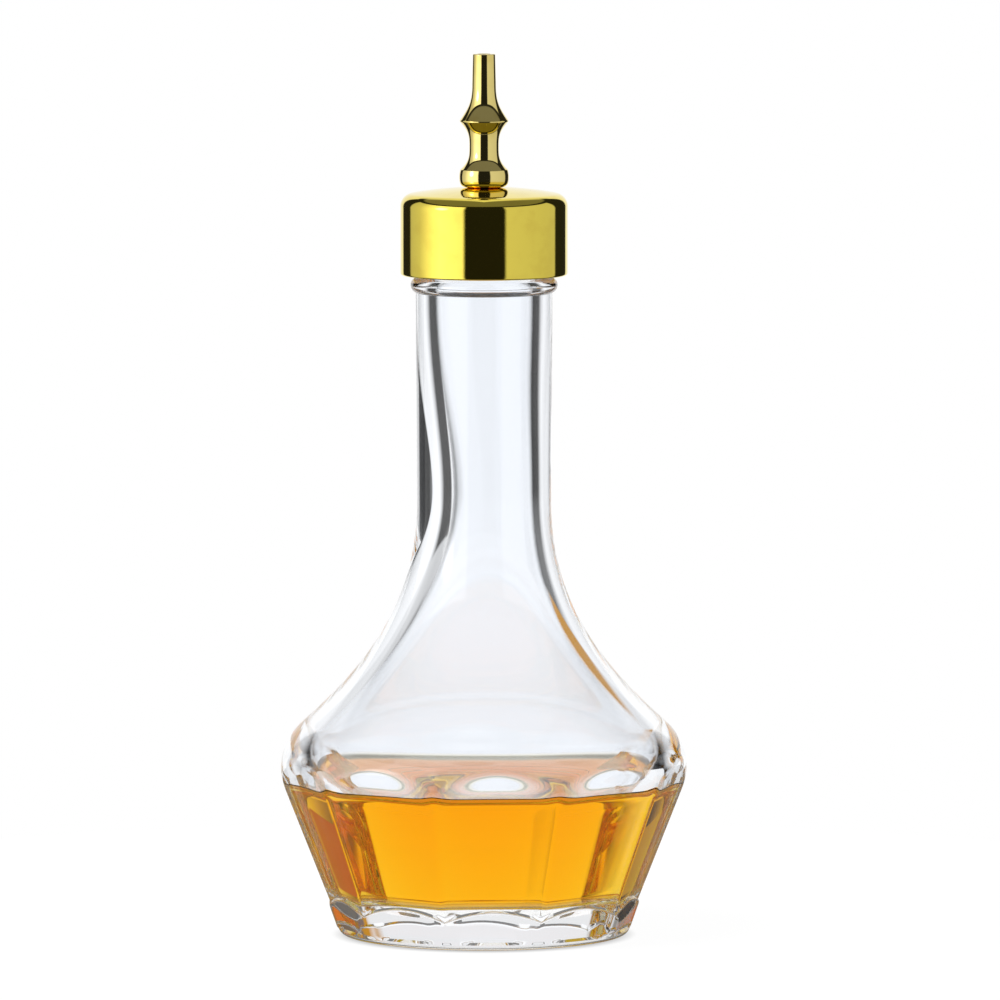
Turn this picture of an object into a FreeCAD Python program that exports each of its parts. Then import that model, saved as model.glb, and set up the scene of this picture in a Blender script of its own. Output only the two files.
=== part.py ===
import FreeCAD, Part
import math
import os

# Bitters bottle: a ten-panel pressed glass bottle, part filled, under a screw-on dasher cap.
# Millimetres, +Z up. The origin is the middle of the foot, on the table. One panel faces -Y.

# Glass panels: a ten-sided cone that opens upwards to the shoulder
PANEL_COUNT = 10
RIDGE_RADIUS = 23.7        # where the ridge lines, carried down, would meet the table
RIDGE_DROP = 0.4           # the ridges run out this far below the shoulder's widest height
RIDGE_ROUNDING = 2.5
PANEL_START = 2.0          # the cone begins here, hidden inside the foot

# Glass foot: a round plinth that the panels stand in, with a flat and an arch under every panel
FOOT_PROUD = 0.35          # its side, carried down to the table, outside the ridge lines
FOOT_LEAN = 18.0           # degrees outwards from vertical
FOOT_FLAT_STEP = 0.45      # flats outside the panels, at the top of the arches
FOOT_ARCH_HEIGHT = 6.7     # in the middle of a panel
FOOT_ARCH_RADIUS = 20.0
FOOT_BLANK_EXTRA = 1.0     # the foot is drawn this much taller and then cut to the arches
HEEL_ROUNDING = 1.4
BEARING_WIDTH = 5.0        # flat ring that the bottle stands on
PUSH_UP_DEPTH = 0.8        # hollow under the base, inside that ring

# Glass shoulder, bell and neck
SHOULDER_RADIUS = 34.6
SHOULDER_HEIGHT = 28.2
SHOULDER_ROUNDING = 10.5
SHOULDER_SWEEP = 48.0      # degrees of rounding before the bell begins
BELL_LOWER_PULL = 14.0     # lengths of the two handles that shape the bell
BELL_UPPER_PULL = 18.0
NECK_WAIST_HEIGHT = 74.0
NECK_WAIST_RADIUS = 11.4
NECK_STEP = 0.4            # top of the neck inside the finish
NECK_LENGTH = 35.5         # from the waist to the bead
BEAD_PROUD = 0.5           # bead outside the finish
BEAD_HEIGHT = 2.6

# Screw finish of the glass, held to the outside of its thread
FINISH_RADIUS = 12.0
FINISH_HEIGHT = 10.3       # from the bead to the lip
LIP_ROUNDING = 0.8

# Inside of the glass
FLOOR_THICKNESS = 7.5
FLOOR_ROUNDING = 3.5
PANEL_WALL = 3.0
INNER_SHOULDER_RISE = 1.0  # inner shoulder centre above the outer one
INNER_SHOULDER_ROUNDING = 6.0
INNER_BELL_LOWER_PULL = 12.0
INNER_BELL_UPPER_PULL = 20.0
BORE_WAIST_RISE = 2.0      # narrowest part of the bore above the waist of the neck
NECK_WAIST_WALL = 4.6
FINISH_WALL = 3.7
LIQUID_DEPTH = 19.0

# Cap shell
CAP_WALL = 1.0
CAP_CORNER = 2.2
CAP_DOME_RADIUS = 72.0
CAP_TOP_THICKNESS = 2.0    # on the axis
SKIRT_EDGE_ROUNDING = 0.35
SKIRT_GAP = 0.4            # skirt edge above the bead

# Thread insert and sealing washer inside the cap
BOND_GAP = 0.05            # glue line between shell and insert
INSERT_WALL = 0.9
THREAD_CLEARANCE = 0.25    # insert bore round the finish
INSERT_SETBACK = 0.5       # insert edge above the skirt edge
WEB_THICKNESS = 1.5
INSERT_CHAMFER = 0.5
WASHER_THICKNESS = 1.5
WASHER_OUTER_GAP = 0.5     # inside the insert's bore
WASHER_INNER_GAP = 0.4     # outside the mouth

# Dasher spout, from its seat on the cap to its tip
SEAT_LEDGE = 0.5           # seat outside the spigot
KNOB_RADIUS = 4.22
KNOB_LOWER_RISE = 1.85     # seat to the knob's widest
KNOB_UPPER_RISE = 1.15     # on to the knob's top edge
KNOB_TOP_RADIUS = 4.05
LEDGE_WIDTH = 0.2          # between the knob and the flare
FLARE_RISE = 4.05          # ledge to waist
WAIST_RADIUS = 2.5
RING_RISE = 4.05           # waist to the sharp ring
RING_RADIUS = 4.15
STEM_RISE = 6.2            # ring to the foot of the stem
STEM_TAPER = 0.12          # foot of the stem outside the tip
TIP_RISE = 5.15
TIP_WALL = 0.8
TIP_CHAMFER = 0.15
SPOUT_BORE_RADIUS = 1.1

# Spigot through the cap, with its seal and nut
SPIGOT_RADIUS = 2.0
SPIGOT_CLEARANCE = 0.06
SPIGOT_PROUD = 0.5         # spigot end below the nut
SEAL_THICKNESS = 0.8
SEAL_RADIUS = 4.6
SEAL_CLEARANCE = 0.1
NUT_ACROSS_FLATS = 7.0
NUT_THICKNESS = 2.2
NUT_CHAMFER = 30.0         # degrees

# Heights and radii that follow from the sizes above
FOOT_RADIUS = RIDGE_RADIUS + FOOT_PROUD
LIQUID_LEVEL = FLOOR_THICKNESS + LIQUID_DEPTH
NECK_TOP_RADIUS = FINISH_RADIUS - NECK_STEP
BEAD_RADIUS = FINISH_RADIUS + BEAD_PROUD
BEAD_BOTTOM = NECK_WAIST_HEIGHT + NECK_LENGTH
BEAD_TOP = BEAD_BOTTOM + BEAD_HEIGHT
LIP_HEIGHT = BEAD_TOP + FINISH_HEIGHT
BORE_WAIST_RADIUS = NECK_WAIST_RADIUS - NECK_WAIST_WALL
BORE_RADIUS = FINISH_RADIUS - FINISH_WALL
SKIRT_BOTTOM = BEAD_TOP + SKIRT_GAP
INSERT_BORE_RADIUS = FINISH_RADIUS + THREAD_CLEARANCE
INSERT_RADIUS = INSERT_BORE_RADIUS + INSERT_WALL
CAP_BORE_RADIUS = INSERT_RADIUS + BOND_GAP
CAP_RADIUS = CAP_BORE_RADIUS + CAP_WALL
WASHER_TOP = LIP_HEIGHT + WASHER_THICKNESS
CAP_CEILING = WASHER_TOP + WEB_THICKNESS
DOME_TOP = CAP_CEILING + CAP_TOP_THICKNESS
DOME_CENTRE = DOME_TOP - CAP_DOME_RADIUS
SPIGOT_HOLE_RADIUS = SPIGOT_RADIUS + SPIGOT_CLEARANCE
SPOUT_SEAT_RADIUS = SPIGOT_RADIUS + SEAT_LEDGE
SPOUT_SEAT = DOME_CENTRE + math.sqrt(CAP_DOME_RADIUS ** 2 - SPOUT_SEAT_RADIUS ** 2)
TIP_RADIUS = SPOUT_BORE_RADIUS + TIP_WALL
SEAL_BOTTOM = WASHER_TOP - SEAL_THICKNESS
NUT_BOTTOM = SEAL_BOTTOM - NUT_THICKNESS
SPIGOT_END = NUT_BOTTOM - SPIGOT_PROUD

AXIS_POINT = FreeCAD.Vector(0, 0, 0)
AXIS = FreeCAD.Vector(0, 0, 1)


class Turning:
    """An outline of radius and height, drawn edge by edge and turned about the Z axis."""

    def __init__(self, radius, height):
        self.start = FreeCAD.Vector(radius, 0, height)
        self.here = self.start
        self.edges = []

    def line_to(self, radius, height):
        end = FreeCAD.Vector(radius, 0, height)
        self.edges.append(Part.makeLine(self.here, end))
        self.here = end

    def arc_about(self, radius, height, degrees):
        """Swing about a centre; positive degrees turn from +radius towards +height."""
        centre = FreeCAD.Vector(radius, 0, height)
        arm = self.here - centre
        points = [self.here]
        for part in (0.5, 1.0):
            angle = math.radians(degrees * part)
            across = arm.x * math.cos(angle) - arm.z * math.sin(angle)
            up = arm.x * math.sin(angle) + arm.z * math.cos(angle)
            points.append(centre + FreeCAD.Vector(across, 0, up))
        self.edges.append(Part.Arc(*points).toShape())
        self.here = points[-1]

    def arc_through(self, radius, height, end_radius, end_height):
        middle = FreeCAD.Vector(radius, 0, height)
        end = FreeCAD.Vector(end_radius, 0, end_height)
        self.edges.append(Part.Arc(self.here, middle, end).toShape())
        self.here = end

    def curve_to(self, leave, arrive, radius, height):
        """A cubic curve whose handles are given as (radius, height) steps from its two ends."""
        end = FreeCAD.Vector(radius, 0, height)
        curve = Part.BezierCurve()
        first_handle = self.here + FreeCAD.Vector(leave[0], 0, leave[1])
        last_handle = end + FreeCAD.Vector(arrive[0], 0, arrive[1])
        curve.setPoles([self.here, first_handle, last_handle, end])
        self.edges.append(curve.toShape())
        self.here = end

    def solid(self):
        self.line_to(self.start.x, self.start.z)
        return Part.Face(Part.Wire(self.edges)).revolve(AXIS_POINT, AXIS, 360)


def ring(inner_radius, outer_radius, bottom, top):
    blank = Part.makeCylinder(outer_radius, top - bottom, FreeCAD.Vector(0, 0, bottom))
    hole = Part.makeCylinder(inner_radius, top - bottom, FreeCAD.Vector(0, 0, bottom))
    return blank.cut(hole)


def ridge_radius(height):
    return RIDGE_RADIUS + (SHOULDER_RADIUS - RIDGE_RADIUS) * height / (SHOULDER_HEIGHT - RIDGE_DROP)


def panel_distance(height):
    """How far the middle of a panel lies from the axis."""
    return ridge_radius(height) * math.cos(math.pi / PANEL_COUNT)


def panel_lean():
    """Lean of the panels from vertical, in radians: a little less than that of their ridges."""
    return math.atan(panel_distance(1.0) - panel_distance(0.0))


def sided_cone(bottom, bottom_distance, top, top_distance):
    """A cone with as many sides as there are panels, the sides at these distances from the axis. One faces -Y."""
    outlines = []
    for height, distance in ((bottom, bottom_distance), (top, top_distance)):
        corner_radius = distance / math.cos(math.pi / PANEL_COUNT)
        corners = []
        for i in range(PANEL_COUNT + 1):
            angle = math.pi * (2 * i + 1) / PANEL_COUNT - math.pi / 2
            corners.append(FreeCAD.Vector(math.cos(angle), math.sin(angle), 0) * corner_radius + AXIS * height)
        outlines.append(Part.makePolygon(corners))
    return Part.makeLoft(outlines, True, True)


def panel_cone(bottom, top):
    """The panels, with the ridges between them rounded."""
    cone = sided_cone(bottom, panel_distance(bottom), top, panel_distance(top))
    ridges = [edge for edge in cone.Edges if edge.BoundBox.ZLength > (top - bottom) / 2]
    return cone.makeFillet(RIDGE_ROUNDING, ridges)


def bell_profile():
    """Everything that is round on the outside of the glass, from the shoulder to the lip."""
    profile = Turning(0, PANEL_START)
    profile.line_to(SHOULDER_RADIUS, PANEL_START)
    profile.line_to(SHOULDER_RADIUS, SHOULDER_HEIGHT)
    profile.arc_about(SHOULDER_RADIUS - SHOULDER_ROUNDING, SHOULDER_HEIGHT, SHOULDER_SWEEP)
    profile.curve_to(bell_step(BELL_LOWER_PULL), (0, -BELL_UPPER_PULL), NECK_WAIST_RADIUS, NECK_WAIST_HEIGHT)
    neck_pull = NECK_LENGTH / 3
    profile.curve_to((0, neck_pull), (0, -neck_pull), NECK_TOP_RADIUS, BEAD_BOTTOM)
    profile.arc_through(BEAD_RADIUS, BEAD_BOTTOM + BEAD_HEIGHT / 2, FINISH_RADIUS, BEAD_TOP)
    profile.line_to(FINISH_RADIUS, LIP_HEIGHT - LIP_ROUNDING)
    profile.arc_about(FINISH_RADIUS - LIP_ROUNDING, LIP_HEIGHT - LIP_ROUNDING, 90)
    profile.line_to(0, LIP_HEIGHT)
    return profile


def bell_step(length):
    """A step along the direction in which the shoulder runs into the bell."""
    angle = math.radians(SHOULDER_SWEEP)
    return (-length * math.sin(angle), length * math.cos(angle))


def foot():
    """Leaning plinth with a bearing ring, a push-up under it, a flat under every panel and an arched top."""
    lean = math.radians(FOOT_LEAN)
    bottom = -FOOT_BLANK_EXTRA
    top = FOOT_ARCH_HEIGHT + FOOT_BLANK_EXTRA
    heel_centre = FOOT_RADIUS + HEEL_ROUNDING * (math.tan(lean) - 1 / math.cos(lean))
    hollow_radius = heel_centre - BEARING_WIDTH
    dome = (hollow_radius ** 2 + PUSH_UP_DEPTH ** 2) / (2 * PUSH_UP_DEPTH)
    dome_angle = math.degrees(math.asin(hollow_radius / dome))
    profile = Turning(0, PUSH_UP_DEPTH)
    profile.arc_about(0, PUSH_UP_DEPTH - dome, -dome_angle)
    profile.line_to(heel_centre, 0)
    profile.arc_about(heel_centre, HEEL_ROUNDING, 90 - FOOT_LEAN)
    profile.line_to(FOOT_RADIUS + top * math.tan(lean), top)
    profile.line_to(0, top)

    def flat_distance(height):
        arch_distance = panel_distance(FOOT_ARCH_HEIGHT) + FOOT_FLAT_STEP
        return arch_distance + (height - FOOT_ARCH_HEIGHT) * math.tan(lean)

    flats = sided_cone(bottom, flat_distance(bottom), top, flat_distance(top))
    return profile.solid().common(flats).common(arches(bottom, top))


def arches(bottom, top):
    """Cylinders that lie like spokes, each kept to its own panel."""
    width = 360 / PANEL_COUNT
    spoke = FreeCAD.Vector(math.cos(math.radians(width / 2)), math.sin(math.radians(width / 2)), 0)
    start = AXIS * (FOOT_ARCH_HEIGHT - FOOT_ARCH_RADIUS) - spoke * SHOULDER_RADIUS
    sector = Part.makeCylinder(SHOULDER_RADIUS, top - bottom, AXIS * bottom, AXIS, width)
    arch = sector.common(Part.makeCylinder(FOOT_ARCH_RADIUS, 2 * SHOULDER_RADIUS, start, spoke))
    copies = []
    for i in range(PANEL_COUNT):
        copy = arch.copy()
        copy.rotate(AXIS_POINT, AXIS, width * i)
        copies.append(copy)
    return copies[0].multiFuse(copies[1:])


def cavity():
    """Inside of the glass: rounded floor, cone parallel to the panels, shoulder, bell and neck bore."""
    lean = panel_lean()
    wall_across = PANEL_WALL / math.cos(lean)

    def wall_radius(height):
        return panel_distance(height) - wall_across

    floor_side = FLOOR_THICKNESS + FLOOR_ROUNDING
    floor_centre = wall_radius(floor_side) - FLOOR_ROUNDING / math.cos(lean)
    shoulder_height = SHOULDER_HEIGHT + INNER_SHOULDER_RISE
    shoulder_centre = wall_radius(shoulder_height) - INNER_SHOULDER_ROUNDING / math.cos(lean)
    shoulder_start = (shoulder_centre + INNER_SHOULDER_ROUNDING * math.cos(lean),
                      shoulder_height - INNER_SHOULDER_ROUNDING * math.sin(lean))
    lean_degrees = math.degrees(lean)
    profile = Turning(0, FLOOR_THICKNESS)
    profile.line_to(floor_centre, FLOOR_THICKNESS)
    profile.arc_about(floor_centre, floor_side, 90 - lean_degrees)
    profile.line_to(*shoulder_start)
    profile.arc_about(shoulder_centre, shoulder_height, lean_degrees + SHOULDER_SWEEP)
    profile.curve_to(bell_step(INNER_BELL_LOWER_PULL), (0, -INNER_BELL_UPPER_PULL),
                     BORE_WAIST_RADIUS, NECK_WAIST_HEIGHT + BORE_WAIST_RISE)
    bore_pull = (NECK_LENGTH - BORE_WAIST_RISE) / 3
    profile.curve_to((0, bore_pull), (0, -bore_pull), BORE_RADIUS, BEAD_BOTTOM)
    profile.line_to(BORE_RADIUS, LIP_HEIGHT - LIP_ROUNDING)
    profile.arc_about(BORE_RADIUS + LIP_ROUNDING, LIP_HEIGHT - LIP_ROUNDING, -90)
    profile.line_to(0, LIP_HEIGHT)
    return profile.solid()


def glass_bottle(inside):
    panelled = bell_profile().solid().common(panel_cone(PANEL_START, LIP_HEIGHT))
    return panelled.fuse(foot()).cut(inside)


def bitters(inside):
    below_level = Part.makeCylinder(SHOULDER_RADIUS, LIQUID_LEVEL)
    return inside.common(below_level)


def cap_shell():
    """Deep cup with a softly domed top, rounded corner and a flat spot for the spout."""
    corner_across = CAP_RADIUS - CAP_CORNER
    corner_arm = CAP_DOME_RADIUS - CAP_CORNER
    corner_height = DOME_CENTRE + math.sqrt(corner_arm ** 2 - corner_across ** 2)
    dome_edge = math.degrees(math.asin(corner_across / corner_arm))
    dome_seat = math.degrees(math.asin(SPOUT_SEAT_RADIUS / CAP_DOME_RADIUS))
    profile = Turning(CAP_BORE_RADIUS, SKIRT_BOTTOM)
    profile.line_to(CAP_RADIUS - SKIRT_EDGE_ROUNDING, SKIRT_BOTTOM)
    profile.arc_about(CAP_RADIUS - SKIRT_EDGE_ROUNDING, SKIRT_BOTTOM + SKIRT_EDGE_ROUNDING, 90)
    profile.line_to(CAP_RADIUS, corner_height)
    profile.arc_about(corner_across, corner_height, 90 - dome_edge)
    profile.arc_about(0, DOME_CENTRE, dome_edge - dome_seat)
    profile.line_to(SPIGOT_HOLE_RADIUS, SPOUT_SEAT)
    profile.line_to(SPIGOT_HOLE_RADIUS, CAP_CEILING)
    profile.line_to(CAP_BORE_RADIUS, CAP_CEILING)
    return profile.solid()


def thread_insert():
    """Plastic cup glued into the shell; its bore runs over the finish and its web carries the spout."""
    bottom = SKIRT_BOTTOM + INSERT_SETBACK
    profile = Turning(INSERT_BORE_RADIUS, bottom)
    profile.line_to(INSERT_RADIUS, bottom)
    profile.line_to(INSERT_RADIUS, CAP_CEILING - INSERT_CHAMFER)
    profile.line_to(INSERT_RADIUS - INSERT_CHAMFER, CAP_CEILING)
    profile.line_to(SPIGOT_HOLE_RADIUS, CAP_CEILING)
    profile.line_to(SPIGOT_HOLE_RADIUS, WASHER_TOP)
    profile.line_to(INSERT_BORE_RADIUS, WASHER_TOP)
    return profile.solid()


def sealing_washer():
    inner_radius = BORE_RADIUS + WASHER_INNER_GAP
    return ring(inner_radius, INSERT_BORE_RADIUS - WASHER_OUTER_GAP, LIP_HEIGHT, WASHER_TOP)


def dasher_spout():
    """Turned spout: knob foot, flare, waist, sharp ring and tapering stem, bored through."""
    profile = Turning(SPOUT_BORE_RADIUS, SPIGOT_END)
    profile.line_to(SPIGOT_RADIUS, SPIGOT_END)
    profile.line_to(SPIGOT_RADIUS, SPOUT_SEAT)
    profile.line_to(SPOUT_SEAT_RADIUS, SPOUT_SEAT)
    height = SPOUT_SEAT + KNOB_LOWER_RISE
    profile.curve_to((KNOB_RADIUS - SPOUT_SEAT_RADIUS, 0), (0, -KNOB_LOWER_RISE / 2), KNOB_RADIUS, height)
    height += KNOB_UPPER_RISE
    profile.curve_to((0, KNOB_UPPER_RISE / 2), (0, 0), KNOB_TOP_RADIUS, height)
    flare_radius = KNOB_TOP_RADIUS - LEDGE_WIDTH
    profile.line_to(flare_radius, height + LEDGE_WIDTH)
    height += FLARE_RISE + LEDGE_WIDTH
    flare_leave = (WAIST_RADIUS - flare_radius, FLARE_RISE / 3)
    profile.curve_to(flare_leave, (0, -FLARE_RISE / 2), WAIST_RADIUS, height)
    height += RING_RISE
    ring_arrive = ((WAIST_RADIUS - RING_RADIUS) * 2 / 3, -RING_RISE / 3)
    profile.curve_to((0, RING_RISE / 2), ring_arrive, RING_RADIUS, height)
    height += STEM_RISE
    stem_radius = TIP_RADIUS + STEM_TAPER
    stem_leave = ((stem_radius - RING_RADIUS) * 2 / 3, STEM_RISE / 3)
    profile.curve_to(stem_leave, (0, -STEM_RISE / 2), stem_radius, height)
    height += TIP_RISE
    profile.line_to(TIP_RADIUS, height - TIP_CHAMFER)
    profile.line_to(TIP_RADIUS - TIP_CHAMFER, height)
    profile.line_to(SPOUT_BORE_RADIUS, height)
    return profile.solid()


def spout_seal():
    return ring(SPIGOT_RADIUS + SEAL_CLEARANCE, SEAL_RADIUS, SEAL_BOTTOM, WASHER_TOP)


def spout_nut():
    """Thin hexagon nut under the seal, its lower corners turned off."""
    corner_radius = NUT_ACROSS_FLATS / 2 / math.cos(math.pi / 6)
    corners = [FreeCAD.Vector(corner_radius * math.cos(math.pi * i / 3),
                              corner_radius * math.sin(math.pi * i / 3), NUT_BOTTOM) for i in range(7)]
    prism = Part.Face(Part.makePolygon(corners)).extrude(AXIS * NUT_THICKNESS)
    flat_radius = NUT_ACROSS_FLATS / 2
    chamfer_rise = (corner_radius - flat_radius) * math.tan(math.radians(NUT_CHAMFER))
    profile = Turning(SPIGOT_HOLE_RADIUS, NUT_BOTTOM)
    profile.line_to(flat_radius, NUT_BOTTOM)
    profile.line_to(corner_radius, NUT_BOTTOM + chamfer_rise)
    profile.line_to(corner_radius, SEAL_BOTTOM)
    profile.line_to(SPIGOT_HOLE_RADIUS, SEAL_BOTTOM)
    return prism.common(profile.solid())


def main():
    inside = cavity()
    pieces = {
        "glass_bottle": glass_bottle(inside),
        "bitters": bitters(inside),
        "cap_shell": cap_shell(),
        "thread_insert": thread_insert(),
        "sealing_washer": sealing_washer(),
        "dasher_spout": dasher_spout(),
        "spout_seal": spout_seal(),
        "spout_nut": spout_nut(),
    }
    os.makedirs("parts", exist_ok=True)
    for node, shape in pieces.items():
        shape.exportStep("parts/" + node + ".step")
        box = shape.optimalBoundingBox(False)
        print(f"{node}: {len(shape.Solids)} solid, {shape.Volume / 1000:.2f} cm3, "
              f"z {box.ZMin:.2f} to {box.ZMax:.2f}, valid {shape.isValid()}")


main()
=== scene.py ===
import math

import bpy
import numpy as np
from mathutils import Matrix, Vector


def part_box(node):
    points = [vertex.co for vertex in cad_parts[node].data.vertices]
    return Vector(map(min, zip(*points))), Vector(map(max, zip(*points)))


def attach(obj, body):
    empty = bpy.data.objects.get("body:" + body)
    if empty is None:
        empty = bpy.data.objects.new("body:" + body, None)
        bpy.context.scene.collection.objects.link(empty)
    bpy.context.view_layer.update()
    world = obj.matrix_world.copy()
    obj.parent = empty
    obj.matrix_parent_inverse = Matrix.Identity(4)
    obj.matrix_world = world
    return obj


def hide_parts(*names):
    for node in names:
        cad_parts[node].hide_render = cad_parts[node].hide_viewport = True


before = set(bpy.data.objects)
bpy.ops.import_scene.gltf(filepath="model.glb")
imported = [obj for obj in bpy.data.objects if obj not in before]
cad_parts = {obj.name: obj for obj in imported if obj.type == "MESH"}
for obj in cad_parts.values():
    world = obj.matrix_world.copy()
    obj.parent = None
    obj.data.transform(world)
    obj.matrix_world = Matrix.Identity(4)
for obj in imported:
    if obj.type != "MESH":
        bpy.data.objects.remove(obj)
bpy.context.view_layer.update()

# A ten-panel glass bitters bottle, part filled, under a gold-plated screw cap with a turned dasher spout.
# Outlines are drawn in millimetres, as radius and height. The meshes are made in metres.

MM = 0.001


def node_size(node):
    """Outer radius, lowest height and highest height of a solid, in millimetres."""
    low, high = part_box(node)
    return high.x / MM, low.z / MM, high.z / MM


SHOULDER_RADIUS, _, LIP = node_size("glass_bottle")
_, FLOOR, LIQUID_LEVEL = node_size("bitters")
CAP_RADIUS, SKIRT_BOTTOM, _ = node_size("cap_shell")
INSERT_RADIUS, INSERT_BOTTOM, CAP_CEILING = node_size("thread_insert")
WASHER_RADIUS, _, WASHER_TOP = node_size("sealing_washer")
KNOB_RADIUS, SPIGOT_END, SPOUT_TIP = node_size("dasher_spout")
SEAL_RADIUS, SEAL_BOTTOM, _ = node_size("spout_seal")
NUT_CORNER_RADIUS, NUT_BOTTOM, _ = node_size("spout_nut")

# Panels and foot of the glass
PANEL_COUNT = 10
HALF_PANEL = math.pi / PANEL_COUNT
RIDGE_RADIUS = 24.2         # where the ridge lines would meet the table
RIDGE_TOP = 26.3            # height at which the ridges run out into the shoulder
RIDGE_ROUNDING = 2.5
FOOT_RADIUS = 24.5
FOOT_LEAN = math.radians(18)
FOOT_FLAT_STEP = 0.45       # flats on the foot, outside the panels above them
FOOT_FLAT_EDGE = 0.12       # softness of the edges of those flats
FOOT_ARCH_HEIGHT = 6.7      # top of the foot in the middle of a panel
FOOT_ARCH_RADIUS = 20.0     # the top of the foot bows up in front of every panel
FOOT_LIP_ROUNDING = 0.3
HEEL_ROUNDING = 1.4
BEARING_WIDTH = 5.0
PUSH_UP_DEPTH = 0.8
FOOT_CREASE = 1.4           # softness of the line between foot and panels
SCALLOP_SOFTNESS = 0.8      # softness of the edge between panels and shoulder

# Shoulder, bell, neck and finish of the glass
SHOULDER_HEIGHT = 28.2
SHOULDER_ROUNDING = 10.5
SHOULDER_SWEEP = 48
BELL_PULLS = (14.0, 18.0)
WAIST_HEIGHT = 74.0
WAIST_RADIUS = 11.4
NECK_TOP_RADIUS = 11.6
BEAD_BOTTOM = 109.5
BEAD_HEIGHT = 2.6
BEAD_RADIUS = 12.5
BEAD_RUN_OUT = 0.5          # height of the slope from the bead in to the finish
LIP_ROUNDING = 0.8

# Inside of the glass
PANEL_WALL = 3.5
FLOOR_ROUNDING = 3.5
INNER_SHOULDER_RISE = 1.5
INNER_SHOULDER_ROUNDING = 6.0
INNER_BELL_PULLS = (12.0, 20.0)
BORE_WAIST_HEIGHT = 76.0
BORE_WAIST_RADIUS = 6.8
BORE_RADIUS = 8.3
BORE_DRIFT = 1.05           # the bore leaves the axis in the lower neck, so one wall is thicker
DRIFT_HEIGHT = 75.0
DRIFT_SPREAD = 17.0

# Screw thread of the closure
THREAD_PITCH = 3.175
THREAD_ROOT = 10.95         # on the glass
THREAD_CREST = 11.95
THREAD_START = 114.3
THREAD_TURNS = 1.5
THREAD_WIDTH = 1.5          # of a ridge at its foot
THREAD_FLANK = 0.32         # share of that width that either side of the ridge takes
THREAD_FADE = 0.12          # part of a turn in which an end of the thread rises
INSERT_BORE = 12.25
INSERT_CREST = 11.3
INSERT_MOUTH = 0.3          # bevel round the open end of the insert
INSERT_CHAMFER = 0.5        # round its closed end

# Cap, spout and their small pieces
CAP_WALL = 1.0
CAP_CORNER = 2.2
CAP_DOME_RADIUS = 72.0
DOME_TOP = CAP_CEILING + 2.0
SKIRT_EDGE_ROUNDING = 0.35
SPIGOT_RADIUS = 2.0
SPIGOT_CHAMFER = 0.2
SPIGOT_PITCH = 0.7
SPIGOT_THREAD_DEPTH = 0.18
SPIGOT_HOLE = 2.06
SPOUT_BORE = 1.1
SEAT_RADIUS = 2.5
WASHER_SETBACK = 0.4        # the lip washer's hole, outside the bore of the glass
SEAL_CLEARANCE = 0.1        # the spout seal's hole, outside the spigot
SOFT_EDGE = 0.25            # largest rounding on the edges of a soft ring

# The liquid reaches this far into the glass, so that light passes straight from one into the other
WETTING = 0.12
CONTACT_HEIGHT = LIQUID_LEVEL + 0.5
MENISCUS_RISE = 1.3         # the liquid climbs the glass and lies a little below its mean level in the middle
MENISCUS_REACH = 1.8

# Columns of faces round the pieces
PANEL_COLUMNS = 36          # across one panel of the glass
CAP_COLUMNS = 240           # cap, insert and liquid
SPOUT_COLUMNS = 160         # spout and lip washer
NUT_COLUMNS = 144
SEAL_COLUMNS = 96
COLUMN_CROWDING = 0.13      # how far the glass's columns crowd on the ridges and mid-panel
SHARP_EDGE = math.radians(38)


class Outline:
    """Radius and height along a turned shape. Round stretches are sampled at about one step length."""

    def __init__(self, radius, height, step=0.5):
        self.points = [(radius, height)]
        self.step = step

    def count(self, length, least):
        return max(least, math.ceil(length / self.step))

    def line_to(self, radius, height, least=1):
        start = self.points[-1]
        steps = self.count(math.dist(start, (radius, height)), least)
        for i in range(1, steps + 1):
            t = i / steps
            self.points.append((start[0] + (radius - start[0]) * t, start[1] + (height - start[1]) * t))

    def arc_about(self, radius, height, degrees, least=8):
        """Swing about a centre; positive degrees turn from +radius towards +height."""
        across, up = self.points[-1][0] - radius, self.points[-1][1] - height
        sweep = math.radians(degrees)
        steps = self.count(math.hypot(across, up) * abs(sweep), least)
        for i in range(1, steps + 1):
            c, s = math.cos(sweep * i / steps), math.sin(sweep * i / steps)
            self.points.append((radius + across * c - up * s, height + across * s + up * c))

    def curve_to(self, leave, arrive, radius, height, least=10):
        """A cubic curve whose handles are steps from its two ends."""
        a, d = np.array(self.points[-1]), np.array((radius, height))
        b, c = a + np.array(leave), d + np.array(arrive)
        steps = self.count(math.dist(a, d), least)
        for i in range(1, steps + 1):
            t = i / steps
            p = a * (1 - t) ** 3 + b * 3 * t * (1 - t) ** 2 + c * 3 * t * t * (1 - t) + d * t ** 3
            self.points.append((float(p[0]), float(p[1])))

    def arrays(self):
        points = np.array(self.points)
        return points[:, 0], points[:, 1]


def even_angles(columns):
    return np.arange(columns) * 2 * math.pi / columns


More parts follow.
